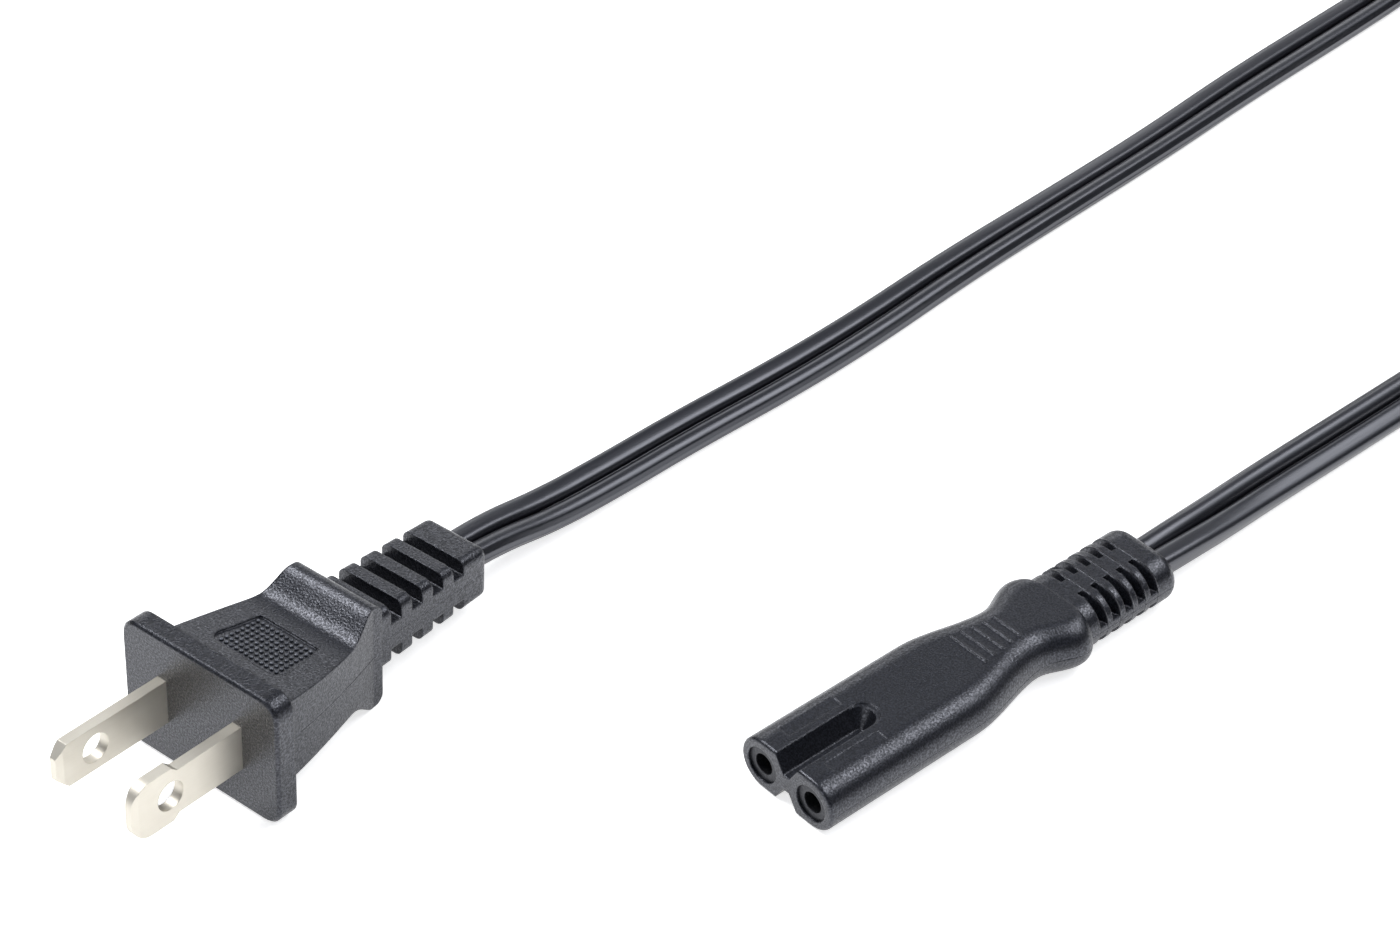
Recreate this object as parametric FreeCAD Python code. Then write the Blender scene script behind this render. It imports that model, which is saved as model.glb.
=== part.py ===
import FreeCAD, Part
import math
import os

V = FreeCAD.Vector

# Two-core power cord: a figure-eight connector on one end and a two-blade plug on the other.
# Millimetres. +Z is up and the floor is z = 0. The connector lies along Y, its pin holes towards -Y,
# and the origin is under the middle of the connector.

# Connector outside
pin_spacing = 8.6
lobe_radius = 3.7
connector_length = 62.6
shoulder_place = 25.0
shoulder_lead = 5.0
waist_place = 38.0
waist_width = 11.5
collar_place = 43.9
collar_end_place = 46.0
collar_width = 15.1
tip_edge_radius = 0.45

# Groove along the top and the bottom of the nose
groove_width = 4.1
groove_floor_width = 1.0
groove_depth = 2.55
groove_length = 14.0
groove_lip_reach = 0.55
groove_lip_depth = 0.14

# Grip bars and faint fields on the connector's top
bar_count = 5
bar_pitch = 1.65
first_bar_length = 6.2
last_bar_length = 4.7
bar_width = 0.35
bar_height = 0.16
first_bar_place = 30.2
field_width = 2.0
field_length = 8.6
field_depth = 0.06
field_place = 3.2
field_side = 4.1

# Slotted strain relief of the connector
relief_width = 12.1
relief_height = 7.2
relief_end_radius = 1.6
slot_rows = 5
slot_pitch = 2.32
slot_width = 1.45
slot_floor_width = 0.4
slot_depth = 1.6
slot_top_depth = 0.75
slot_top_rise = 0.5
first_slot_place = 47.9
top_spine_width = 2.8
side_spine_height = 1.5

# Rigid insert and the two contacts inside the connector
insert_radius = 2.5
insert_recess = 0.35
insert_web_height = 2.0
insert_web_start = 5.0
pin_entry_radius = 1.45
pin_entry_length = 2.2
socket_radius = 1.2
socket_wall = 0.4
socket_length = 12.0
socket_end_wall = 1.45
crimp_radius = 1.1
crimp_length = 5.0

# Flat two-core cord
core_diameter = 3.3
core_spacing = 3.3
cord_web_height = 1.7
arc_share = 0.45
conductor_radius = 0.6
strip_length = 4.0
strip_grip = 2.0
leg_radius = 1.45
leg_length = 11.0

# Plug outside
flange_width = 26.1
flange_height = 18.6
flange_thickness = 2.9
flange_corner_radius = 2.6
flange_bevel = 0.35
plug_body_width = 20.8
plug_body_height = 12.4
saddle_place = 17.2
saddle_height = 9.7
saddle_power = 1.5
hump_rise_power = 1.2
body_plan_power = 1.6
hump_place = 22.6
hump_height = 15.4
hump_width = 13.6
hump_end_place = 24.2
hump_end_radius = 1.5
pad_front_place = 7.3
pad_rear_place = 15.2
pad_front_width = 12.6
pad_rear_width = 9.8
pad_front_corner = 1.8
pad_rear_corner = 0.6
pad_depth = 0.3

# Slotted strain relief of the plug
tail_width = 11.0
tail_end_width = 10.4
tail_height = 9.2
tail_end_height = 7.6
tail_end_place = 45.3
tail_slots = 4
tail_slot_pitch = 3.85
tail_slot_width = 1.95
tail_spine_height = 3.9
first_tail_slot_place = 27.2
tail_corner_radius = 1.25
tail_end_radius = 1.1
tail_root = 1.5

# Blades of the plug
blade_spacing = 12.7
blade_thickness = 1.5
blade_width = 6.35
blade_length = 17.3
wide_head_width = 7.92
wide_head_place = 10.2
wide_head_flare = 0.9
blade_hole_radius = 2.0
blade_hole_place = 11.4
tip_bevel_length = 1.0
tip_bevel_depth = 0.3
tip_corner = 1.6
wide_tip_radius = 2.9
blade_root = 9.0
tab_width = 3.6
blade_crimp_length = 5.5

# Inner bridge that holds both blades
bridge_width = 17.6
bridge_height = 8.8
bridge_start = 0.9
bridge_length = 4.0

# Where the plug lies beside the connector
plug_face_x = -49.2
plug_face_y = -80.95
plug_turn = 10.1

# Coil of the spare cord and its tie
coil_x = -39.0
coil_y = 223.7
coil_radius = 33.5
coil_layers = 4
layer_rise = 3.4
tie_width = 7.0
tie_thickness = 0.7
tie_angle = 90.0

# How far a cutting tool reaches past what it cuts, and how close counts as the same place
over_cut = 1.0
near = 0.01

# Each free run leaves its moulding straight for this length, then follows route points chosen by hand
cord_lead = 6.0
connector_route = [
    (-0.4, 45.5, 3.1),
    (-1.1, 56.0, 2.3),
    (-1.7, 72.0, 1.7),
    (-1.9, 96.0, 1.65),
    (-2.7, 126.0, 1.65),
    (-3.1, 158.0, 1.65),
    (-2.5, 190.0, 1.65),
    (-2.2, 214.0, 1.65),
]
plug_route = [
    (-59.1, -20.5, 3.6),
    (-60.3, -9.0, 2.2),
    (-61.2, 5.0, 1.7),
    (-61.5, 24.0, 1.65),
    (-62.5, 40.5, 1.65),
    (-64.8, 60.5, 1.65),
    (-66.5, 84.0, 1.65),
    (-68.3, 108.0, 1.65),
    (-70.8, 130.0, 1.65),
    (-72.6, 154.0, 1.65),
    (-73.9, 176.0, 2.2),
    (-75.1, 190.0, 5.4),
    (-75.7, 202.0, 9.8),
    (-75.8, 214.0, 11.6),
]

tip = -connector_length / 2
relief_end = connector_length / 2
axis_z = lobe_radius
socket_start = tip + insert_recess + pin_entry_length
crimp_start = socket_start + socket_length + socket_end_wall
crimp_end = crimp_start + crimp_length
leg_start = crimp_end - strip_grip / 2 + strip_length / 2
nose_width = pin_spacing + 2 * lobe_radius
core_radius = core_diameter / 2
cord_width = core_spacing + core_diameter
coil_width = 2 * cord_width
coil_height = coil_layers * layer_rise


def smooth(t):
    return t * t * (3 - 2 * t)


def blend(start, end, t):
    return start + (end - start) * smooth(t)


def stadium(width, height, y, z):
    """Wire across Y with round sides."""
    r = height / 2
    side = width / 2 - r
    corners = [V(-side, y, z - r), V(side, y, z - r), V(side, y, z + r), V(-side, y, z + r)]
    return Part.Wire([
        Part.LineSegment(corners[0], corners[1]).toShape(),
        Part.Arc(corners[1], V(side + r, y, z), corners[2]).toShape(),
        Part.LineSegment(corners[2], corners[3]).toShape(),
        Part.Arc(corners[3], V(-side - r, y, z), corners[0]).toShape(),
    ])


def rounded_wire(width, height, radius, y, z=0.0):
    """Rounded rectangle across Y."""
    a = width / 2 - radius
    b = height / 2 - radius
    k = radius * math.sqrt(0.5)
    edges = []
    for sx, sz in ((1, 1), (-1, 1), (-1, -1), (1, -1)):
        across = V(sx * (a + radius), y, z + sz * b)
        above = V(sx * a, y, z + sz * (b + radius))
        middle = V(sx * (a + k), y, z + sz * (b + k))
        first, last = (across, above) if sx * sz > 0 else (above, across)
        if edges:
            edges.append(Part.LineSegment(edges[-1].Vertexes[-1].Point, first).toShape())
        edges.append(Part.Arc(first, middle, last).toShape())
    edges.append(Part.LineSegment(edges[-1].Vertexes[-1].Point, edges[0].Vertexes[0].Point).toShape())
    return Part.Wire(edges)


def prism(wire, length):
    return Part.Face(wire).extrude(V(0, length, 0))


def box(x0, x1, y0, y1, z0, z1):
    return Part.makeBox(x1 - x0, y1 - y0, z1 - z0, V(x0, y0, z0))


def rod(radius, x, y0, y1, z):
    return Part.makeCylinder(radius, y1 - y0, V(x, y0, z), V(0, 1, 0))


def polygon(points):
    return Part.makePolygon(points + points[:1])


def connector_width(place):
    """Width of the connector at a place measured back from its tip."""
    if place <= shoulder_place:
        return nose_width
    if place <= waist_place:
        return blend(nose_width, waist_width, (place - shoulder_place) / (waist_place - shoulder_place))
    if place <= collar_place:
        return blend(waist_width, collar_width, (place - waist_place) / (collar_place - waist_place))
    t = (place - collar_place) / (collar_end_place - collar_place)
    return relief_width + (collar_width - relief_width) * math.sqrt(max(0.0, 1 - t * t))


def connector_places():
    """Stations of the waisted part, straight before the shoulder and closer together round the collar."""
    places = [shoulder_place - shoulder_lead, shoulder_place - shoulder_lead / 2]
    places += [shoulder_place + (waist_place - shoulder_place) * k / 6 for k in range(7)]
    places += [waist_place + (collar_place - waist_place) * k / 5 for k in range(1, 6)]
    collar = collar_end_place - collar_place
    places += [collar_place + collar * math.sin(math.radians(a)) for a in (30, 55, 75, 88)]
    return places


def groove_cut(side):
    """Groove with sloping walls and a round end, on the top (side 1) or the bottom (side -1)."""
    top = axis_z + side * lobe_radius
    floor = axis_z + side * (lobe_radius - groove_depth)
    over = top + side * over_cut
    spread = (groove_width - groove_floor_width) / 2 / groove_depth
    half_over = groove_width / 2 + spread * over_cut
    half_floor = groove_floor_width / 2
    end = tip + groove_length - groove_width / 2
    start = tip - over_cut
    section = polygon([
        V(-half_over, start, over),
        V(half_over, start, over),
        V(half_floor, start, floor),
        V(-half_floor, start, floor),
    ])
    run = prism(section, end - start)
    half = polygon([V(0, end, over), V(half_over, end, over), V(half_floor, end, floor), V(0, end, floor)])
    round_end = Part.Face(half).revolve(V(0, end, 0), V(0, 0, 1), 360)
    lip_at = V(0, end + groove_lip_reach, over)
    lip = Part.makeCylinder(groove_width / 2, groove_lip_depth + over_cut, lip_at, V(0, 0, -side))
    return run.fuse(round_end).fuse(lip)


def slot_ring(y):
    """One row of V-shaped slots round the strain relief, wider and deeper at the sides, with four spines."""
    outer = prism(stadium(relief_width + 2 * over_cut, relief_height + 2 * over_cut, y, axis_z), slot_width)
    rim_height = relief_height + 2 * slot_top_rise
    core_width = relief_width - 2 * slot_depth
    core_height = relief_height - 2 * slot_top_depth
    slope = (slot_width - slot_floor_width) / 2
    inner = Part.makeLoft([
        stadium(relief_width, rim_height, y, axis_z),
        stadium(core_width, core_height, y + slope, axis_z),
        stadium(core_width, core_height, y + slope + slot_floor_width, axis_z),
        stadium(relief_width, rim_height, y + slot_width, axis_z),
    ], True, True)
    half_top = top_spine_width / 2
    half_side = side_spine_height / 2
    top_spine = box(-half_top, half_top, y, y + slot_width, axis_z - relief_height, axis_z + relief_height)
    side_spine = box(-relief_width, relief_width, y, y + slot_width, axis_z - half_side, axis_z + half_side)
    return outer.cut(inner).cut(top_spine).cut(side_spine)


def connector_shell():
    """Outer form of the connector before the inner pieces are taken out."""
    nose = prism(stadium(nose_width, 2 * lobe_radius, tip, axis_z), connector_places()[0])
    front = [e for e in nose.Edges if e.BoundBox.YMax < tip + near]
    nose = nose.makeFillet(tip_edge_radius, front)
    sections = [stadium(connector_width(p), 2 * lobe_radius, tip + p, axis_z) for p in connector_places()]
    waist = Part.makeLoft(sections, True, False)
    relief_start = tip + collar_end_place - over_cut
    relief = prism(stadium(relief_width, relief_height, relief_start, axis_z), relief_end - relief_start)
    rear = [e for e in relief.Edges if e.BoundBox.YMin > relief_end - near]
    relief = relief.makeFillet(relief_end_radius, rear)
    for row in range(slot_rows):
        relief = relief.cut(slot_ring(tip + first_slot_place + row * slot_pitch))
    shell = nose.fuse(waist).fuse(relief)
    for side in (1, -1):
        shell = shell.cut(groove_cut(side))
    top = axis_z + lobe_radius
    for side in (1, -1):
        x = side * field_side - field_width / 2
        y = tip + field_place
        shell = shell.cut(box(x, x + field_width, y, y + field_length, top - field_depth, top + over_cut))
    for k in range(bar_count):
        y = tip + first_bar_place + k * bar_pitch
        half = (first_bar_length + (last_bar_length - first_bar_length) * k / (bar_count - 1)) / 2
        shell = shell.fuse(box(-half, half, y, y + bar_width, top - bar_height, top + bar_height))
    return shell.removeSplitter()


def connector_insert():
    """Rigid carrier: two tubes joined by a web, their ends showing round the pin holes."""
    y0 = tip + insert_recess
    y1 = crimp_start
    half = pin_spacing / 2
    half_web = insert_web_height / 2
    body = box(-half, half, tip + insert_web_start, y1, axis_z - half_web, axis_z + half_web)
    for side in (-1, 1):
        body = body.fuse(rod(insert_radius, side * pin_spacing / 2, y0, y1, axis_z))
    for side in (-1, 1):
        x = side * pin_spacing / 2
        body = body.cut(rod(pin_entry_radius, x, y0 - over_cut, y0 + pin_entry_length, axis_z))
        body = body.cut(rod(socket_radius + socket_wall, x, y0 + pin_entry_length, y1 + over_cut, axis_z))
    return body.removeSplitter()


def contact(side):
    """Tubular pin socket with a crimp barrel behind it."""
    x = side * pin_spacing / 2
    outer = rod(socket_radius + socket_wall, x, socket_start, crimp_start, axis_z)
    barrel = rod(crimp_radius, x, crimp_start, crimp_end, axis_z)
    bore = rod(socket_radius, x, socket_start - over_cut, socket_start + socket_length, axis_z)
    strands = rod(conductor_radius, x, crimp_end - strip_grip, crimp_end + over_cut, axis_z)
    return outer.fuse(barrel).cut(bore).cut(strands).removeSplitter()


def conductor(side, x_spacing, start, z):
    """Bare strands from the crimp into the core."""
    return rod(conductor_radius, side * x_spacing / 2, start, start + strip_length, z)


def cord_section(y, length, z):
    """Straight length of the flat cord along Y."""
    half = core_spacing / 2
    half_web = cord_web_height / 2
    body = box(-half, half, y, y + length, z - half_web, z + half_web)
    for side in (-1, 1):
        body = body.fuse(rod(core_radius, side * half, y, y + length, z))
    return body.removeSplitter()


def cord_end(spread, start, end, z):
    """Cord inside a moulding: the flat cord, then its two cores parted towards the contacts."""
    body = cord_section(start + leg_length, end - start - leg_length, z)
    for side in (-1, 1):
        circles = []
        for k in range(5):
            t = k / 4
            x = side * blend(spread, core_spacing, t) / 2
            radius = leg_radius + (core_radius - leg_radius) * t
            circles.append(Part.Wire(Part.makeCircle(radius, V(x, start + leg_length * t, z), V(0, 1, 0))))
        leg = Part.makeLoft(circles, True, False)
        body = body.fuse(leg)
    for side in (-1, 1):
        body = body.cut(rod(conductor_radius, side * spread / 2, start - over_cut, start + strip_grip / 2, z))
    return body.removeSplitter()


def body_half_width(place):
    """Half width of the plug's body, falling away faster towards the hump."""
    t = (place - flange_thickness) / (hump_place - flange_thickness)
    return (plug_body_width + (hump_width - plug_body_width) * t ** body_plan_power) / 2


def body_half_height(place):
    """Half height of the plug's body: a slow fall to the saddle, then a quick rise to the hump."""
    if place < saddle_place:
        t = (saddle_place - place) / (saddle_place - flange_thickness)
        return (saddle_height + (plug_body_height - saddle_height) * t ** saddle_power) / 2
    t = (place - saddle_place) / (hump_place - saddle_place)
    return blend(saddle_height, hump_height, t ** hump_rise_power) / 2


def plug_shell():
    """Flange, waisted body and slotted strain relief of the plug, its face on y = 0."""
    flange = prism(rounded_wire(flange_width, flange_height, flange_corner_radius, 0), flange_thickness)
    face = [e for e in flange.Edges if e.BoundBox.YMax < near]
    flange = flange.makeChamfer(flange_bevel, face)
    front = [flange_thickness + (saddle_place - flange_thickness) * k / 5 for k in range(5)]
    stations = front + [saddle_place + (hump_place - saddle_place) * k / 6 for k in range(7)]
    sides = [V(body_half_width(p), p, 0) for p in stations]
    tops = [V(0, p, body_half_height(p)) for p in stations]
    plan = body_outline(sides, V(hump_width / 2, hump_end_place, 0), V(-1, 1, 1))
    profile = body_outline(tops, V(0, hump_end_place, hump_height / 2), V(1, 1, -1))
    slab = Part.Face(plan).extrude(V(0, 0, flange_height)).translated(V(0, 0, -flange_height / 2))
    block = Part.Face(profile).extrude(V(flange_width, 0, 0)).translated(V(-flange_width / 2, 0, 0))
    body = slab.common(block)
    ends = [e for e in body.Edges if e.BoundBox.YMin > hump_end_place - near]
    rear = [e for e in ends if e.BoundBox.XLength > hump_width / 2]
    body = body.makeFillet(hump_end_radius, rear)
    body = body.cut(grip_pad())
    return flange.fuse(body).fuse(plug_tail()).removeSplitter()


def body_outline(points, end, flip):
    """Closed outline from one curved side, its rear end and their mirror image."""
    curve = Part.BSplineCurve()
    curve.interpolate(points)
    mirror = [V(p.x * flip.x, p.y * flip.y, p.z * flip.z) for p in points]
    other = Part.BSplineCurve()
    other.interpolate(mirror)
    end_mirror = V(end.x * flip.x, end.y * flip.y, end.z * flip.z)
    return Part.Wire([
        curve.toShape(),
        Part.LineSegment(points[-1], end).toShape(),
        Part.LineSegment(end, end_mirror).toShape(),
        Part.LineSegment(end_mirror, mirror[-1]).toShape(),
        other.toShape(),
        Part.LineSegment(mirror[0], points[0]).toShape(),
    ])


def grip_pad():
    """Sunk field on the saddle, top and bottom, following the saddle's curve."""
    stations = [pad_front_place + (pad_rear_place - pad_front_place) * k / 6 for k in range(7)]
    low = [V(0, p, body_half_height(p) - pad_depth) for p in stations]
    curve = Part.BSplineCurve()
    curve.interpolate(low)
    above = flange_height
    side = Part.Wire([
        curve.toShape(),
        Part.LineSegment(low[-1], V(0, pad_rear_place, above)).toShape(),
        Part.LineSegment(V(0, pad_rear_place, above), V(0, pad_front_place, above)).toShape(),
        Part.LineSegment(V(0, pad_front_place, above), low[0]).toShape(),
    ])
    sheet = Part.Face(side).extrude(V(flange_width, 0, 0)).translated(V(-flange_width / 2, 0, 0))
    a = pad_front_width / 2
    b = pad_rear_width / 2
    front = [V(-a, pad_front_place, 0), V(a, pad_front_place, 0)]
    rear = [V(b, pad_rear_place, 0), V(-b, pad_rear_place, 0)]
    column = Part.Face(polygon(front + rear)).extrude(V(0, 0, above))
    for place, radius in ((pad_front_place, pad_front_corner), (pad_rear_place, pad_rear_corner)):
        upright = [e for e in column.Edges if e.BoundBox.ZLength > above - near]
        column = column.makeFillet(radius, [e for e in upright if abs(e.BoundBox.Center.y - place) < near])
    upper = sheet.common(column)
    lower = upper.mirror(V(0, 0, 0), V(0, 0, 1))
    return upper.fuse(lower)


def plug_tail():
    """Tapered strain relief with slots across its top and bottom."""
    sections = [
        rounded_wire(tail_width, tail_height, tail_corner_radius, hump_end_place - tail_root),
        rounded_wire(tail_end_width, tail_end_height, tail_corner_radius, tail_end_place),
    ]
    tail = Part.makeLoft(sections, True, True)
    rear = [e for e in tail.Edges if e.BoundBox.YMin > tail_end_place - near]
    tail = tail.makeFillet(tail_end_radius, rear)
    for k in range(tail_slots):
        y = first_tail_slot_place + k * tail_slot_pitch
        for z0, z1 in ((tail_spine_height / 2, tail_height), (-tail_height, -tail_spine_height / 2)):
            tail = tail.cut(box(-tail_width, tail_width, y, y + tail_slot_width, z0, z1))
    return tail


def blade(side, wide):
    """Flat blade with a bevelled tip and a hole, a narrower tab behind it and a crimp barrel."""
    half = blade_width / 2
    head = wide_head_width / 2 if wide else half
    tab = tab_width / 2
    tip_y = -blade_length
    if wide:
        upper = [(tip_y, head), (-wide_head_place - wide_head_flare, head), (-wide_head_place, half)]
    else:
        upper = [(tip_y, head - tip_corner), (tip_y + tip_corner, head)]
    upper += [(bridge_start, half), (bridge_start, tab), (blade_root, tab)]
    outline = [V(0, y, z) for y, z in upper] + [V(0, y, -z) for y, z in reversed(upper)]
    x = side * blade_spacing / 2
    plate = Part.Face(polygon(outline)).extrude(V(blade_thickness, 0, 0))
    plate.translate(V(x - blade_thickness / 2, 0, 0))
    if wide:
        corners = [e for e in plate.Edges if e.BoundBox.YMax < tip_y + near and e.BoundBox.XLength > near]
        plate = plate.makeFillet(wide_tip_radius, [e for e in corners if e.BoundBox.ZLength < near])
    hole_at = V(x - blade_thickness, -blade_hole_place, 0)
    plate = plate.cut(Part.makeCylinder(blade_hole_radius, 2 * blade_thickness, hole_at, V(1, 0, 0)))
    reach = wide_head_width
    for face in (-1, 1):
        outer = x + face * blade_thickness / 2
        slope = tip_bevel_depth / tip_bevel_length
        wedge = polygon([
            V(outer, tip_y + tip_bevel_length, -reach),
            V(outer + face * over_cut, tip_y + tip_bevel_length, -reach),
            V(outer + face * over_cut, tip_y - over_cut, -reach),
            V(outer - face * slope * (tip_bevel_length + over_cut), tip_y - over_cut, -reach),
        ])
        plate = plate.cut(Part.Face(wedge).extrude(V(0, 0, 2 * reach)))
    end = blade_root + blade_crimp_length
    barrel = rod(crimp_radius, x, blade_root, end, 0)
    strands = rod(conductor_radius, x, end - strip_grip, end + over_cut, 0)
    return plate.fuse(barrel).cut(strands).removeSplitter()


def blade_bridge(blades):
    """Stiff carrier that both blades pass through, hidden in the moulding."""
    block = prism(rounded_wire(bridge_width, bridge_height, crimp_radius, bridge_start), bridge_length)
    for piece in blades:
        block = block.cut(piece)
    return block


def set_plug(shapes):
    """Turn the plug and let it rest on its flange and its hump; also gives its cord's exit and heading."""
    drop = (flange_height - hump_height) / 2
    tilt = math.degrees(math.atan2(drop, hump_place - flange_thickness))
    lean = FreeCAD.Placement(V(0, 0, 0), FreeCAD.Rotation(V(1, 0, 0), -tilt))
    turn = FreeCAD.Placement(V(plug_face_x, plug_face_y, 0), FreeCAD.Rotation(V(0, 0, 1), plug_turn))
    placed = {}
    for name, shape in shapes.items():
        moved = shape.copy()
        moved.Placement = turn.multiply(lean)
        placed[name] = moved
    lift = -placed["plug_overmould"].BoundBox.ZMin
    for shape in placed.values():
        shape.translate(V(0, 0, lift))
    exit_point = turn.multiply(lean).multVec(V(0, tail_end_place, 0)) + V(0, 0, lift)
    heading = turn.multiply(lean).Rotation.multVec(V(0, 1, 0))
    print("plug's cord exit", exit_point, "heading", heading)
    return placed, exit_point, heading


def route_wire(points):
    """Straight runs joined by arcs as large as the runs allow."""
    edges = []
    radii = []
    last = points[0]
    for before, corner, after in zip(points, points[1:], points[2:]):
        back = (before - corner).normalize()
        on = (after - corner).normalize()
        turn = math.pi - back.getAngle(on)
        reach = arc_share * min(before.distanceToPoint(corner), after.distanceToPoint(corner))
        radius = reach / math.tan(turn / 2)
        radii.append(round(radius, 1))
        enter = corner + back * reach
        leave = corner + on * reach
        inward = (back + on).normalize()
        middle = corner + inward * (radius / math.cos(turn / 2) - radius)
        edges.append(Part.LineSegment(last, enter).toShape())
        edges.append(Part.Arc(enter, middle, leave).toShape())
        last = leave
    edges.append(Part.LineSegment(last, points[-1]).toShape())
    print("radii", radii)
    return Part.Wire(edges)


def cord_run(exit_point, heading, route, name):
    """Flat cord from its moulding along a route, its flat side level."""
    points = [exit_point, exit_point + heading * cord_lead] + [V(*p) for p in route]
    wire = route_wire(points)
    level = V(0, 0, 1).cross(heading).normalize()
    upright = heading.cross(level)
    half = core_spacing / 2
    signs = ((1, 1), (-1, 1), (-1, -1), (1, -1))
    corners = [points[0] + level * (sx * half) + upright * (sz * core_radius) for sx, sz in signs]
    profile = Part.Wire([
        Part.LineSegment(corners[0], corners[1]).toShape(),
        Part.Arc(corners[1], points[0] - level * (half + core_radius), corners[2]).toShape(),
        Part.LineSegment(corners[2], corners[3]).toShape(),
        Part.Arc(corners[3], points[0] + level * (half + core_radius), corners[0]).toShape(),
    ])
    sweep = Part.BRepOffsetAPI.MakePipeShell(wire)
    sweep.setBiNormalMode(V(0, 0, 1))
    sweep.add(profile)
    sweep.build()
    sweep.makeSolid()
    tube = sweep.shape()
    expected = Part.Face(profile).Area * wire.Length
    print(name, "length", round(wire.Length, 1))
    print("volume", round(tube.Volume, 1), "against", round(expected, 1))
    return tube.cut(coil_room())


def coil_room():
    """Everything inside the coil's outer wall, where a free run ends."""
    height = coil_height + 2 * over_cut
    return Part.makeCylinder(coil_radius + coil_width / 2, height, V(coil_x, coil_y, -over_cut))


def coil_and_tie():
    """Ring that holds the spare turns, and the strap round it."""
    inner = coil_radius - coil_width / 2
    outer = coil_radius + coil_width / 2
    section = polygon([V(inner, 0, 0), V(outer, 0, 0), V(outer, 0, coil_height), V(inner, 0, coil_height)])
    ring = Part.Face(section).revolve(V(0, 0, 0), V(0, 0, 1), 360)
    round_edges = [e for e in ring.Edges if e.BoundBox.ZMin > coil_height - near]
    ring = ring.makeFillet(core_radius, round_edges)
    t = tie_thickness
    strap = box(inner - t, outer + t, -tie_width / 2, tie_width / 2, 0, coil_height + t)
    strap = strap.cut(ring.cut(box(0, 2 * outer, -tie_width, tie_width, 0, t)))
    ring = ring.cut(strap)
    angle = FreeCAD.Rotation(V(0, 0, 1), tie_angle)
    for shape in (ring, strap):
        shape.Placement = FreeCAD.Placement(V(coil_x, coil_y, 0), angle)
    return ring, strap


def connector():
    """Pieces of the connector, the moulding last and cut round the others."""
    pieces = {"connector_insert": connector_insert()}
    for side, hand in ((-1, "left"), (1, "right")):
        pieces["contact_" + hand] = contact(side)
        pieces["connector_conductor_" + hand] = conductor(side, pin_spacing, crimp_end - strip_grip, axis_z)
    pieces["connector_cord_end"] = cord_end(pin_spacing, leg_start, relief_end, axis_z)
    shell = connector_shell()
    for side in (-1, 1):
        shell = shell.cut(rod(insert_radius, side * pin_spacing / 2, tip - over_cut, crimp_start, axis_z))
    for piece in pieces.values():
        shell = shell.cut(piece)
    pieces["connector_overmould"] = shell
    return pieces


def plug():
    """Pieces of the plug with its face on y = 0, the moulding last and cut round the others."""
    pieces = {"line_blade": blade(-1, False), "neutral_blade": blade(1, True)}
    pieces["blade_bridge"] = blade_bridge(list(pieces.values()))
    crimp_y = blade_root + blade_crimp_length
    for side, hand in ((-1, "line"), (1, "neutral")):
        pieces["plug_conductor_" + hand] = conductor(side, blade_spacing, crimp_y - strip_grip, 0)
    legs_y = crimp_y - strip_grip / 2 + strip_length / 2
    pieces["plug_cord_end"] = cord_end(blade_spacing, legs_y, tail_end_place, 0)
    shell = plug_shell()
    for piece in pieces.values():
        shell = shell.cut(piece)
    pieces["plug_overmould"] = shell
    return pieces


def build():
    nodes = connector()
    placed, plug_exit, plug_heading = set_plug(plug())
    nodes.update(placed)
    nodes["cord_coil"], nodes["cord_tie"] = coil_and_tie()
    connector_exit = V(0, relief_end, axis_z)
    nodes["cord_run_connector"] = cord_run(connector_exit, V(0, 1, 0), connector_route, "connector run")
    nodes["cord_run_plug"] = cord_run(plug_exit, plug_heading, plug_route, "plug run")
    return nodes


os.makedirs("parts", exist_ok=True)
for name, shape in build().items():
    print(name, "valid", shape.isValid(), "solids", len(shape.Solids), "volume", round(shape.Volume, 2))
    shape.exportStep("parts/" + name + ".step")
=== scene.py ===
import math

import bpy
from mathutils import Euler, Matrix, Vector


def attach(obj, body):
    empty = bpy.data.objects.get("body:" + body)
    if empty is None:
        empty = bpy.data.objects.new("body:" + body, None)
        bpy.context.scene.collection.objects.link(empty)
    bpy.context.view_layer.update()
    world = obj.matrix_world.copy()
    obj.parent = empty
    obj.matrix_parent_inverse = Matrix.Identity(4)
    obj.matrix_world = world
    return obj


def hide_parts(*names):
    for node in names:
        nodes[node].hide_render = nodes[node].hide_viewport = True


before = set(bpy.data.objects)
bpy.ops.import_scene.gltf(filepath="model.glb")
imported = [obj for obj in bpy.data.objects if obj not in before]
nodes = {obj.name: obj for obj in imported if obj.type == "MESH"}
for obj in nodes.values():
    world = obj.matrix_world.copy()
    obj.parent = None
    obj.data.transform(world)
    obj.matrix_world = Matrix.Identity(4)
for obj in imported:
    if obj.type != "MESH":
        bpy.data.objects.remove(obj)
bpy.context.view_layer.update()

mm = 0.001
print("frame loaded:", len(nodes), "nodes")


# colours and nodes

def linear(hexColour):
    channels = [int(hexColour[i:i + 2], 16) / 255 for i in (1, 3, 5)]
    return tuple(c / 12.92 if c <= 0.04045 else ((c + 0.055) / 1.055) ** 2.4 for c in channels) + (1.0,)


def addNode(tree, kind, settings=None, links=None):
    node = tree.nodes.new(kind)
    for name, value in (settings or {}).items():
        if isinstance(name, int) or name in node.inputs:
            node.inputs[name].default_value = value
        else:
            setattr(node, name, value)
    for name, source in (links or {}).items():
        tree.links.new(source, node.inputs[name])
    return node


def newMaterial(name):
    material = bpy.data.materials.new(name)
    material.use_nodes = True
    tree = material.node_tree
    shader = tree.nodes["Principled BSDF"]
    return material, tree, shader


def perMm(sizeMm):
    return 1 / (sizeMm * mm)   # pattern scale for a grain of that size


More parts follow.
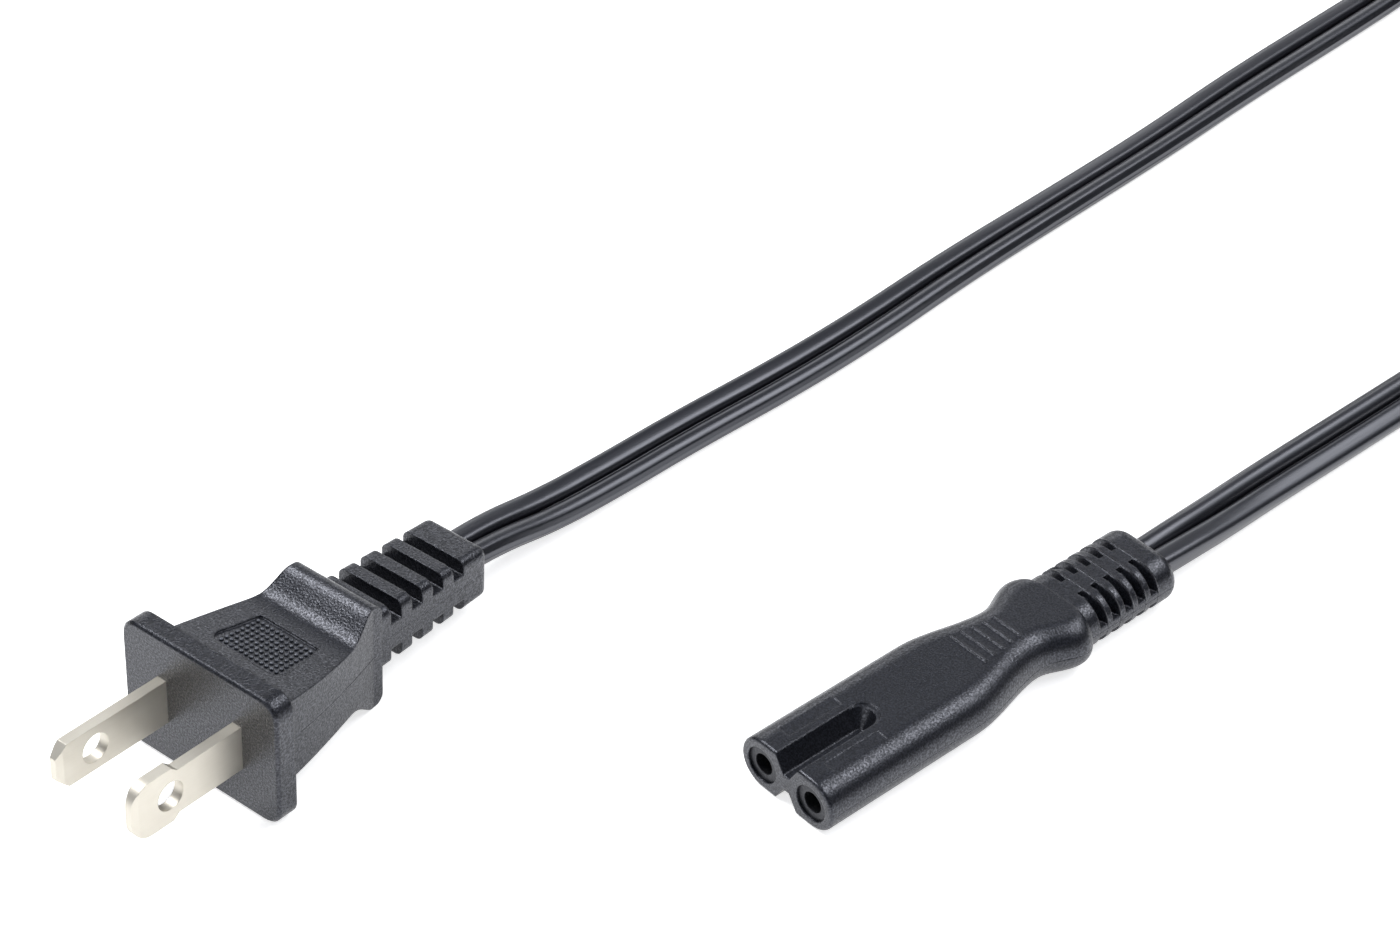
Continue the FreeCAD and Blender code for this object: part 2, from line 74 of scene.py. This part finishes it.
# the plug's own axes: its face is the zero of y, the cord leaves towards +y and z = 0 is its parting plane
plugPose = {"place": (-0.0492, -0.08095, 0.00952), "turn": (math.radians(-4.643), 0.0, math.radians(10.1))}
connectorPose = {"place": (0.0, 0.0, 0.0037), "turn": (0.0, 0.0, 0.0)}
plainPose = {"place": (0.0, 0.0, 0.0), "turn": (0.0, 0.0, 0.0)}


def ownPlace(tree, pose):
    # Object coordinates in the piece's own axes
    place = addNode(tree, "ShaderNodeTexCoord").outputs["Object"]
    settings = {"vector_type": "TEXTURE", "Location": pose["place"], "Rotation": pose["turn"]}
    return addNode(tree, "ShaderNodeMapping", settings, {"Vector": place}).outputs["Vector"]


# materials

pvc = {
    "mouldedIor": 1.53, "extrudedIor": 1.54, "sheenTint": "#eff2ff",   # the cool cast of the sheen
    "grainPeaks": (0.4, 0.68), "flashHighMm": 0.15, "drawnDepthMm": 0.02,
}
strip = {"edgeMm": 0.15, "bump": 0.2, "drawnDepthMm": 0.01}
bevelSamples = 6


def addRidges(tree, axes, ridges, before):
    # fine moulded ridge behind each slot of the strain relief
    along = addNode(tree, "ShaderNodeMath", {"operation": "SUBTRACT", 1: ridges["firstMm"] * mm},
                    {0: axes["Y"]})
    near = addNode(tree, "ShaderNodeMath", {"operation": "PINGPONG", 1: ridges["pitchMm"] / 2 * mm},
                   {0: along.outputs[0]})
    line = addNode(tree, "ShaderNodeMapRange", {
        "interpolation_type": "SMOOTHSTEP", "From Max": ridges["wideMm"] * mm, "To Min": 1.0, "To Max": 0.0},
        {"Value": near.outputs[0]})
    middle = addNode(tree, "ShaderNodeMath", {"operation": "SUBTRACT", 1: ridges["spanMm"] / 2 * mm},
                     {0: along.outputs[0]})
    reach = addNode(tree, "ShaderNodeMath", {"operation": "ABSOLUTE"}, {0: middle.outputs[0]})
    within = addNode(tree, "ShaderNodeMath", {
        "operation": "LESS_THAN", 1: (ridges["spanMm"] / 2 + ridges["endMm"]) * mm}, {0: reach.outputs[0]})
    kept = addNode(tree, "ShaderNodeMath", {"operation": "MULTIPLY"},
                   {0: line.outputs["Result"], 1: within.outputs[0]})
    return addNode(tree, "ShaderNodeBump", {"Strength": 1.0, "Distance": ridges["highMm"] * mm},
                   {"Height": kept.outputs[0], "Normal": before.outputs["Normal"]})


def addFlash(tree, axes, look, before):
    # thin raised line where the two halves of the tool met
    away = addNode(tree, "ShaderNodeMath", {"operation": "ABSOLUTE"}, {0: axes["Z"]})
    line = addNode(tree, "ShaderNodeMapRange", {
        "interpolation_type": "SMOOTHSTEP", "From Max": look["flashMm"] * mm, "To Min": 1.0, "To Max": 0.0},
        {"Value": away.outputs[0]})
    behind = addNode(tree, "ShaderNodeMath", {"operation": "GREATER_THAN", 1: look["flashFromMm"] * mm},
                     {0: axes["Y"]})
    kept = addNode(tree, "ShaderNodeMath", {"operation": "MULTIPLY"},
                   {0: line.outputs["Result"], 1: behind.outputs[0]})
    return addNode(tree, "ShaderNodeBump", {"Strength": 1.0, "Distance": pvc["flashHighMm"] * mm},
                   {"Height": kept.outputs[0], "Normal": before.outputs["Normal"]})


def mouldedPvc(name, look):
    # soft plastic moulded in a spark-eroded tool: nearly black, fine even grain and a cool sheen
    material, tree, shader = newMaterial(name)
    shader.inputs["IOR"].default_value = pvc["mouldedIor"]
    shader.inputs["Specular Tint"].default_value = linear(pvc["sheenTint"])
    own = ownPlace(tree, look["pose"])
    # such grain is typically about a tenth of a millimetre, too fine to show here, so it is drawn coarser
    grain = addNode(tree, "ShaderNodeTexNoise", {"Scale": perMm(look["grainMm"]), "Detail": 2.0},
                    {"Vector": own})
    patch = addNode(tree, "ShaderNodeTexNoise", {"Scale": perMm(look["patchMm"]), "Detail": 3.0},
                    {"Vector": own})
    low, high = pvc["grainPeaks"]
    peaks = addNode(tree, "ShaderNodeMapRange", {"From Min": low, "From Max": high},
                    {"Value": grain.outputs["Fac"]}).outputs["Result"]
    valley, peak = look["colours"]
    shade = addNode(tree, "ShaderNodeMix", {"data_type": "RGBA", 6: linear(valley), 7: linear(peak)},
                    {0: peaks})
    tree.links.new(shade.outputs[2], shader.inputs["Base Color"])
    gloss = addNode(tree, "ShaderNodeMapRange", {"To Min": look["gloss"][0], "To Max": look["gloss"][1]},
                    {"Value": peaks})
    sheen = addNode(tree, "ShaderNodeMapRange", {"To Min": look["sheen"][0], "To Max": look["sheen"][1]},
                    {"Value": peaks})
    tree.links.new(sheen.outputs["Result"], shader.inputs["Specular IOR Level"])
    worn = addNode(tree, "ShaderNodeMath", {"operation": "MULTIPLY_ADD", 1: look["patch"]},
                   {0: patch.outputs["Fac"], 2: gloss.outputs["Result"]})
    tree.links.new(worn.outputs[0], shader.inputs["Roughness"])
    soft = addNode(tree, "ShaderNodeBevel", {"samples": bevelSamples, "Radius": look["edgeMm"] * mm})
    last = addNode(tree, "ShaderNodeBump", {"Strength": look["bump"], "Distance": look["depthMm"] * mm},
                   {"Height": grain.outputs["Fac"], "Normal": soft.outputs["Normal"]})
    axes = addNode(tree, "ShaderNodeSeparateXYZ", {}, {"Vector": own}).outputs
    if "ridges" in look:
        last = addRidges(tree, axes, look["ridges"], last)
    if "flashMm" in look:
        last = addFlash(tree, axes, look, last)
    tree.links.new(last.outputs["Normal"], shader.inputs["Normal"])
    return material


def extrudedPvc(name, look):
    # extruded PVC jacket: smooth, satin black, long even highlights broken by faint drawn lines
    material, tree, shader = newMaterial(name)
    shader.inputs["Base Color"].default_value = linear(look["colour"])
    shader.inputs["IOR"].default_value = pvc["extrudedIor"]
    shader.inputs["Specular IOR Level"].default_value = look["sheen"]
    shader.inputs["Specular Tint"].default_value = linear(pvc["sheenTint"])
    place = addNode(tree, "ShaderNodeTexCoord").outputs["Object"]
    draw = addNode(tree, "ShaderNodeMapping", {"Scale": tuple(perMm(s) for s in look["drawnMm"])},
                   {"Vector": place})
    lines = addNode(tree, "ShaderNodeTexNoise", {"Scale": 1.0, "Detail": 3.0},
                    {"Vector": draw.outputs["Vector"]})
    gloss = addNode(tree, "ShaderNodeMapRange", {"To Min": look["gloss"][0], "To Max": look["gloss"][1]},
                    {"Value": lines.outputs["Fac"]})
    tree.links.new(gloss.outputs["Result"], shader.inputs["Roughness"])
    bump = addNode(tree, "ShaderNodeBump", {"Strength": look["bump"], "Distance": pvc["drawnDepthMm"] * mm},
                   {"Height": lines.outputs["Fac"]})
    tree.links.new(bump.outputs["Normal"], shader.inputs["Normal"])
    return material


def drawnMetal(name, look):
    # plated or bare strip metal: satin, with fine lines from drawing along its length
    material, tree, shader = newMaterial(name)
    shader.inputs["Metallic"].default_value = 1.0
    own = ownPlace(tree, look["pose"])
    draw = addNode(tree, "ShaderNodeMapping", {"Scale": tuple(perMm(s) for s in look["drawnMm"])},
                   {"Vector": own})
    lines = addNode(tree, "ShaderNodeTexNoise", {"Scale": 1.0, "Detail": 4.0},
                    {"Vector": draw.outputs["Vector"]})
    cloud = addNode(tree, "ShaderNodeTexNoise", {"Scale": perMm(look["cloudMm"]), "Detail": 2.0},
                    {"Vector": own})
    clean, dull = look["colours"]
    shade = addNode(tree, "ShaderNodeMix", {"data_type": "RGBA", 6: linear(clean), 7: linear(dull)},
                    {0: cloud.outputs["Fac"]})
    tree.links.new(shade.outputs[2], shader.inputs["Base Color"])
    gloss = addNode(tree, "ShaderNodeMapRange", {"To Min": look["gloss"][0], "To Max": look["gloss"][1]},
                    {"Value": lines.outputs["Fac"]})
    tree.links.new(gloss.outputs["Result"], shader.inputs["Roughness"])
    soft = addNode(tree, "ShaderNodeBevel", {"samples": bevelSamples, "Radius": strip["edgeMm"] * mm})
    bump = addNode(tree, "ShaderNodeBump", {"Strength": strip["bump"], "Distance": strip["drawnDepthMm"] * mm},
                   {"Height": lines.outputs["Fac"], "Normal": soft.outputs["Normal"]})
    tree.links.new(bump.outputs["Normal"], shader.inputs["Normal"])
    return material


def dress(piece, material):
    piece.data.materials.clear()
    piece.data.materials.append(material)


# fine grain and a smooth sheen along the sides
connectorPvc = mouldedPvc("connector PVC, spark-eroded grain", {
    "pose": connectorPose, "colours": ("#06070a", "#16181e"), "grainMm": 0.25, "patchMm": 5.0, "patch": 0.06,
    "gloss": (0.36, 0.24), "sheen": (0.45, 1.0), "bump": 1.0, "depthMm": 0.036, "edgeMm": 0.3,
    "flashMm": 0.14, "flashFromMm": -30.8,
    "ridges": {"firstMm": 18.05, "pitchMm": 2.32, "spanMm": 9.28, "endMm": 0.4, "wideMm": 0.16, "highMm": 0.1}})
# deeper grain that sparkles on the hump's slope
plugPvc = mouldedPvc("plug PVC, coarse spark-eroded grain", {
    "pose": plugPose, "colours": ("#06070a", "#181a20"), "grainMm": 0.27, "patchMm": 5.0, "patch": 0.06,
    "gloss": (0.34, 0.22), "sheen": (0.42, 0.92), "bump": 1.0, "depthMm": 0.056, "edgeMm": 0.35,
    "flashMm": 0.12, "flashFromMm": 0.5})
# dots painted paler than the field they stand in: a painted sheen on their tops
gripPvc = mouldedPvc("plug PVC, grip dots with painted sheen", {
    "pose": plugPose, "colours": ("#34363b", "#5c5f66"), "grainMm": 0.34, "patchMm": 5.0, "patch": 0.06,
    "gloss": (0.34, 0.26), "sheen": (0.6, 1.0), "bump": 0.4, "depthMm": 0.03, "edgeMm": 0.1})
cordPvc = extrudedPvc("cord PVC, extruded", {
    "colour": "#07080b", "drawnMm": (0.25, 40.0, 0.25), "gloss": (0.27, 0.37), "sheen": 0.85, "bump": 0.4})
# pale, slightly warm and clouded
nickelBrass = drawnMetal("nickel-plated brass strip", {
    "pose": plugPose, "colours": ("#dbd7cc", "#cac4b8"), "drawnMm": (0.3, 9.0, 0.2), "cloudMm": 4.0,
    "gloss": (0.42, 0.56)})
# duller and smoother than the PVC round it
insertNylon = mouldedPvc("nylon insert, moulded", {
    "pose": plainPose, "colours": ("#0b0c0e", "#101114"), "grainMm": 0.3, "patchMm": 3.0, "patch": 0.04,
    "gloss": (0.46, 0.4), "sheen": (0.4, 0.6), "bump": 0.2, "depthMm": 0.02, "edgeMm": 0.15})
# matt dark strap
tiePvc = mouldedPvc("tie strap, soft vinyl", {
    "pose": plainPose, "colours": ("#101011", "#161618"), "grainMm": 0.6, "patchMm": 5.0, "patch": 0.06,
    "gloss": (0.56, 0.48), "sheen": (0.4, 0.6), "bump": 0.5, "depthMm": 0.05, "edgeMm": 0.2})
# reddish satin wire, hidden in the crimps
strandCopper = drawnMetal("bare copper strand", {
    "pose": plainPose, "colours": ("#b87350", "#c98763"), "drawnMm": (0.2, 3.0, 0.2), "cloudMm": 2.0,
    "gloss": (0.3, 0.45)})
looks = {
    "connector_overmould": connectorPvc, "plug_overmould": plugPvc,
    "connector_insert": insertNylon, "blade_bridge": insertNylon,
    "line_blade": nickelBrass, "neutral_blade": nickelBrass,
    "contact_left": nickelBrass, "contact_right": nickelBrass,
    "connector_conductor_left": strandCopper, "connector_conductor_right": strandCopper,
    "plug_conductor_line": strandCopper, "plug_conductor_neutral": strandCopper,
    "connector_cord_end": cordPvc, "plug_cord_end": cordPvc, "cord_run_connector": cordPvc,
    "cord_run_plug": cordPvc, "cord_coil": cordPvc, "cord_tie": tiePvc,
}
for nodeName, material in looks.items():
    dress(nodes[nodeName], material)
print("materials on", len(looks), "nodes")


# flat cord: route points of the part's source, in millimetres, lifted where the cord is twisted so that it
# clears the floor; the last number is the twist in degrees
cord = {
    "coreMm": 3.3, "spacingMm": 3.3, "webMm": 0.9, "squareness": 3.2, "coreSteps": 32,
    "ribMm": 0.14, "ribReach": 0.9, "ribWaves": 14,   # ribs reach this far either way, in radians
    "fromConnector": [
        (0.0, 31.3, 3.7, 0), (0.0, 37.3, 3.7, 8), (-0.4, 45.5, 3.1, 16), (-0.98, 56.0, 2.64, 22),
        (-1.04, 71.85, 2.57, 26), (-1.24, 95.85, 2.57, 26), (-2.28, 125.8, 2.25, 16), (-2.94, 157.9, 1.91, 6),
        (-2.5, 190.0, 1.65, 0), (-2.2, 214.0, 1.65, 0)],
    "toPlug": [
        (-75.8, 214.0, 11.6, 0), (-75.7, 202.0, 9.8, 0), (-75.1, 190.0, 5.4, 0), (-73.9, 176.0, 2.2, -4),
        (-72.35, 153.95, 1.96, -10), (-70.55, 129.95, 1.9, -8), (-68.2, 108.0, 1.65, 0), (-66.4, 84.0, 1.65, 0),
        (-64.5, 60.4, 1.9, -8), (-62.05, 40.45, 2.07, -14), (-61.0, 24.0, 2.12, -16), (-60.8, 4.95, 2.18, -18),
        (-59.9, -9.0, 2.4, -18), (-59.0, -20.5, 3.2, -16), (-58.167, -30.611, 5.2, -8),
        (-57.118, -36.498, 5.85, 0)],
    "coilCentre": (-39.0, 223.7), "coilRadii": (36.8, 30.2), "layerMm": 3.4, "pointsPerTurn": 16,
    "turnPlaces": [(0, 0), (1, 0), (1, 1), (0, 1), (0, 2), (1, 2), (0, 3)],   # which radius, which layer
    "turns": 6.5, "shiftFrom": 0.75, "steps": 6, "smoothDegrees": 40,
}


def coilPoints():
    # each turn stays on its own radius and layer, and shifts to the next one in its last quarter
    count = cord["pointsPerTurn"]
    grow = 1 / math.cos(math.pi / count)
    points = []
    for k in range(int(cord["turns"] * count) + 1):
        turn, part = divmod(k / count, 1.0)
        here = cord["turnPlaces"][int(turn)]
        then = cord["turnPlaces"][min(int(turn) + 1, len(cord["turnPlaces"]) - 1)]
        t = max(0.0, (part - cord["shiftFrom"]) / (1 - cord["shiftFrom"]))
        t = t * t * (3 - 2 * t)
        radius = cord["coilRadii"][here[0]] * (1 - t) + cord["coilRadii"][then[0]] * t
        layer = here[1] * (1 - t) + then[1] * t
        angle = 2 * math.pi * k / count
        points.append((cord["coilCentre"][0] + radius * grow * math.cos(angle),
                       cord["coilCentre"][1] + radius * grow * math.sin(angle),
                       cord["coreMm"] / 2 + cord["layerMm"] * layer, 0))
    return points


def cordProfile():
    # two cores joined by a web: one round with fine ribs outside, one squarer with a flat top and a crisp edge
    r = cord["coreMm"] / 2
    half = cord["spacingMm"] / 2
    outline = []
    join = math.asin(min(1.0, cord["webMm"] / 2 / r))
    for side in (1, -1):
        for k in range(cord["coreSteps"] + 1):
            angle = math.pi - join - (2 * math.pi - 2 * join) * k / cord["coreSteps"]
            power = cord["squareness"] if side == 1 else 2.0
            reach = r / (abs(math.cos(angle)) ** power + abs(math.sin(angle)) ** power) ** (1 / power)
            if side == -1 and abs(angle) < cord["ribReach"]:
                wave = 0.5 + 0.5 * math.cos(angle * cord["ribWaves"])
                reach += cord["ribMm"] * wave - cord["ribMm"]
            outline.append((side * (half + reach * math.cos(angle)), side * reach * math.sin(angle)))
    data = bpy.data.curves.new("cordProfile", "CURVE")
    spline = data.splines.new("POLY")
    spline.points.add(len(outline) - 1)
    for point, (x, y) in zip(spline.points, outline):
        point.co = (x * mm, y * mm, 0.0, 1.0)
    spline.use_cyclic_u = True
    return bpy.data.objects.new("cordProfile", data)


def makeCord():
    data = bpy.data.curves.new("cord", "CURVE")
    data.dimensions = "3D"
    data.twist_mode = "Z_UP"
    data.resolution_u = cord["steps"]
    spline = data.splines.new("NURBS")
    points = cord["fromConnector"] + coilPoints() + cord["toPlug"]
    spline.points.add(len(points) - 1)
    for point, (x, y, z, twist) in zip(spline.points, points):
        point.co = (x * mm, y * mm, z * mm, 1.0)
        point.tilt = math.radians(twist)
    spline.order_u = 3
    spline.use_endpoint_u = True
    piece = bpy.data.objects.new("cord", data)
    bpy.context.collection.objects.link(piece)
    line = bpy.data.meshes.new_from_object(piece)
    path = [tuple(v.co) for v in line.vertices]
    bpy.data.meshes.remove(line)
    profile = cordProfile()
    bpy.context.collection.objects.link(profile)
    data.bevel_mode = "OBJECT"
    data.bevel_object = profile
    data.use_fill_caps = True
    bpy.ops.object.select_all(action="DESELECT")
    piece.select_set(True)
    bpy.context.view_layer.objects.active = piece
    bpy.ops.object.convert(target="MESH")
    bpy.ops.object.shade_smooth_by_angle(angle=math.radians(cord["smoothDegrees"]))
    bpy.data.objects.remove(profile)
    return piece, path


cordPiece, cordPath = makeCord()
dress(cordPiece, cordPvc)
cordLength = sum((Vector(b) - Vector(a)).length for a, b in zip(cordPath, cordPath[1:]))
print("cord length", round(cordLength, 4), "faces", len(cordPiece.data.polygons))
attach(cordPiece, "root")
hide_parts("cord_run_connector", "cord_run_plug", "cord_coil")


# raised dots in the plug's two sunk grip pads
gripDots = {
    "across": 12, "along": 8, "pitchMm": 0.85, "frontMm": 8.3, "narrowMm": 0.04,
    "radiusMm": 0.3, "heightMm": 0.22, "sunkMm": 0.05, "segments": 8, "rings": 6,
    "castFrom": 0.02,   # metres above the parting plane, clear of the moulding
}


def makeGripDots():
    toPlug = Matrix.Translation(plugPose["place"]) @ Euler(plugPose["turn"]).to_matrix().to_4x4()
    shell = nodes["plug_overmould"]
    bpy.ops.object.select_all(action="DESELECT")
    bpy.ops.mesh.primitive_uv_sphere_add(
        segments=gripDots["segments"], ring_count=gripDots["rings"], radius=gripDots["radiusMm"] * mm)
    first = bpy.context.object
    bpy.ops.object.mode_set(mode="EDIT")
    bpy.ops.mesh.select_all(action="SELECT")
    bpy.ops.mesh.bisect(plane_co=(0, 0, -gripDots["sunkMm"] * mm), plane_no=(0, 0, 1),
                        clear_inner=True, use_fill=True)
    bpy.ops.mesh.select_all(action="SELECT")
    bpy.ops.transform.resize(value=(1.0, 1.0, gripDots["heightMm"] / gripDots["radiusMm"]))
    bpy.ops.object.mode_set(mode="OBJECT")
    dots = []
    for face in (1, -1):
        down = toPlug.to_3x3() @ Vector((0, 0, -face))
        for row in range(gripDots["along"]):
            y = gripDots["frontMm"] + row * gripDots["pitchMm"]
            pitch = gripDots["pitchMm"] - gripDots["narrowMm"] * row / gripDots["along"]
            for column in range(gripDots["across"]):
                x = (column - (gripDots["across"] - 1) / 2) * pitch
                start = toPlug @ Vector((x * mm, y * mm, face * gripDots["castFrom"]))
                spot, normal = shell.ray_cast(start, down)[1:3]
                dot = first.copy()
                dot.data = first.data.copy()
                bpy.context.collection.objects.link(dot)
                upright = normal.to_track_quat("Z", "Y").to_matrix().to_4x4()
                dot.data.transform(Matrix.Translation(spot) @ upright)
                dots.append(dot)
    bpy.data.objects.remove(first)
    bpy.ops.object.select_all(action="DESELECT")
    for dot in dots:
        dot.select_set(True)
    bpy.context.view_layer.objects.active = dots[0]
    bpy.ops.object.join()
    bpy.ops.object.shade_smooth()
    return dots[0]


gripPiece = makeGripDots()
gripPiece.name = "gripDots"
dress(gripPiece, gripPvc)
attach(gripPiece, "root")
print("grip dots", len(gripPiece.data.polygons), "faces")


# camera at the photograph's view, from the fit of both ends
camera = {
    "place": (0.194414, -0.213813, 0.266080),
    "right": (0.655936, 0.754816, 0.0), "up": (-0.472443, 0.410553, 0.779900),
    "back": (0.588681, -0.511565, 0.625904),
    "focalPixels": 3125.4, "imageWidth": 1400, "sensorMm": 36.0, "clipStart": 0.01,
}
camData = bpy.data.cameras.new("camera")
camData.sensor_width = camera["sensorMm"]
camData.lens = camera["focalPixels"] / camera["imageWidth"] * camera["sensorMm"]
camData.clip_start = camera["clipStart"]
cam = bpy.data.objects.new("camera", camData)
bpy.context.collection.objects.link(cam)
axes = Matrix((camera["right"], camera["up"], camera["back"])).transposed()
cam.matrix_world = Matrix.Translation(camera["place"]) @ axes.to_4x4()
bpy.context.scene.camera = cam
bpy.context.scene.view_settings.view_transform = "Standard"
print("camera lens", round(camData.lens, 2))


# floor, world and lamps
studio = {
    "floorSize": 6.0, "floorColour": "#f4f4f4", "floorGlow": 0.7, "floorRoughness": 0.9, "floorSheen": 0.1,
    "worldColour": "#d9e0f0", "worldStrength": 0.3, "horizonStrength": 0.06, "wallHeights": (0.2, 0.65),
    "lamps": [   # name, place, aimed at, size, watts
        ("upperRight", (0.3, 0.58, 0.84), (0.0, 0.0, 0.0), (0.7, 0.42), 5.2),
        ("upperLeft", (-0.51, -0.25, 0.93), (-0.05, -0.05, 0.0), (0.48, 0.48), 8.0),
        ("backdrop", (-0.83, 0.75, 0.45), (-0.03, 0.0, 0.0), (1.6, 0.36), 3.8),
        ("frontFill", (0.1, -0.95, 0.35), (-0.03, 0.0, 0.0), (0.6, 0.4), 1.5),
    ],
}


def makeFloor():
    bpy.ops.object.select_all(action="DESELECT")
    bpy.ops.mesh.primitive_plane_add(size=studio["floorSize"], location=(0, 0, 0))
    floor = bpy.context.object
    floor.name = "floor"
    material, tree, shader = newMaterial("matt white paper sweep")   # plain pale ground that fades to white
    shader.inputs["Base Color"].default_value = linear(studio["floorColour"])
    shader.inputs["Roughness"].default_value = studio["floorRoughness"]
    shader.inputs["Specular IOR Level"].default_value = studio["floorSheen"]
    ray = addNode(tree, "ShaderNodeLightPath")
    seen = addNode(tree, "ShaderNodeMath", {"operation": "MAXIMUM"},
                   {0: ray.outputs["Is Camera Ray"], 1: ray.outputs["Is Glossy Ray"]})
    level = addNode(tree, "ShaderNodeMath", {"operation": "MULTIPLY", 1: studio["floorGlow"]},
                    {0: seen.outputs[0]})
    shader.inputs["Emission Color"].default_value = (1.0, 1.0, 1.0, 1.0)
    tree.links.new(level.outputs[0], shader.inputs["Emission Strength"])
    dress(floor, material)


def makeWorld():
    world = bpy.data.worlds.new("studio")
    bpy.context.scene.world = world
    world.use_nodes = True
    tree = world.node_tree
    background = tree.nodes["Background"]
    background.inputs["Color"].default_value = linear(studio["worldColour"])
    ray = addNode(tree, "ShaderNodeLightPath")
    towards = addNode(tree, "ShaderNodeTexCoord").outputs["Generated"]
    height = addNode(tree, "ShaderNodeSeparateXYZ", {}, {"Vector": towards}).outputs["Z"]
    low, high = studio["wallHeights"]
    room = addNode(tree, "ShaderNodeMapRange", {   # the room is darker towards its walls than overhead
        "interpolation_type": "SMOOTHSTEP", "From Min": low, "From Max": high,
        "To Min": studio["horizonStrength"], "To Max": studio["worldStrength"]}, {"Value": height})
    level = addNode(tree, "ShaderNodeMapRange", {"To Max": 1.0},   # the camera sees it at full strength
                    {"Value": ray.outputs["Is Camera Ray"], "To Min": room.outputs["Result"]})
    tree.links.new(level.outputs["Result"], background.inputs["Strength"])


def makeLamps():
    for name, place, aim, size, watts in studio["lamps"]:
        data = bpy.data.lights.new(name, "AREA")
        data.shape = "RECTANGLE"
        data.size, data.size_y = size
        data.energy = watts
        lamp = bpy.data.objects.new(name, data)
        bpy.context.collection.objects.link(lamp)
        lamp.location = place
        lamp.rotation_euler = (Vector(aim) - Vector(place)).to_track_quat("-Z", "Y").to_euler()


makeFloor()
makeWorld()
makeLamps()
print("studio lamps", len(studio["lamps"]))
